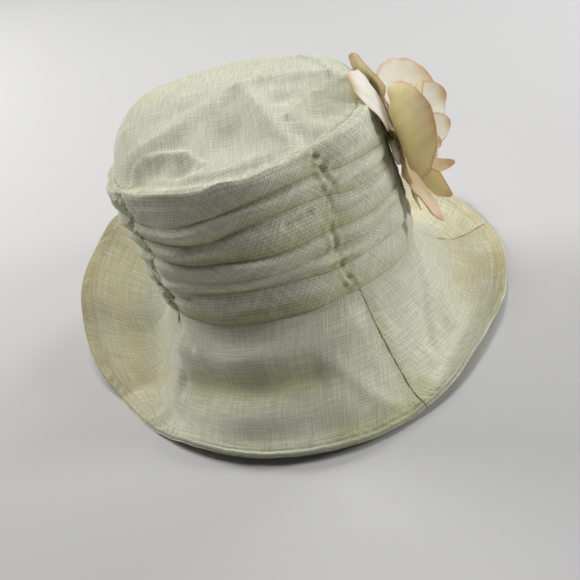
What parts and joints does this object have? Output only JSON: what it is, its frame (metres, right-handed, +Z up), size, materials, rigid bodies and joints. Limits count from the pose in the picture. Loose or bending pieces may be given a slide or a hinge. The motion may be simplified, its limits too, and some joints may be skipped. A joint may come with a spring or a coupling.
{
  "type": "summer hat",
  "caption": "Soft woven linen summer hat with a gathered side band, a wide panelled brim turned up at the front and a large cloth flower on one side.",
  "frame": {"origin": "bottom centre of the hat's bounding box, on the surface that it rests on", "axes": "+Z up, +Y towards the turned-up front of the brim, +X towards the wearer's right, where the flower sits"},
  "size_m": [0.313, 0.3308, 0.1816],
  "materials": {
    "linen": "matt",
    "petal_cloth": "matt",
    "stalk_cloth": "matt"
  },
  "bodies": {
    "root": {"crown_tip": "linen", "crown_band": "linen", "brim_back_left": "linen", "brim_back_right": "linen", "brim_front_right": "linen", "brim_front_left": "linen", "flower_base": "stalk_cloth", "flower_centre": "stalk_cloth", "petal_back": "petal_cloth", "petal_outer_near_low": "petal_cloth", "petal_outer_shoulder": "petal_cloth", "petal_outer_far": "petal_cloth", "petal_outer_top": "petal_cloth", "petal_outer_low": "petal_cloth", "petal_outer_far_top": "petal_cloth", "petal_outer_low_near": "petal_cloth", "petal_middle_far_low": "petal_cloth", "petal_middle_low": "petal_cloth", "petal_middle_near": "petal_cloth", "petal_middle_far_top": "petal_cloth", "petal_middle_far": "petal_cloth", "petal_inner_far": "petal_cloth", "petal_inner_top": "petal_cloth", "petal_inner_low": "petal_cloth"}
  },
  "joints": []
}
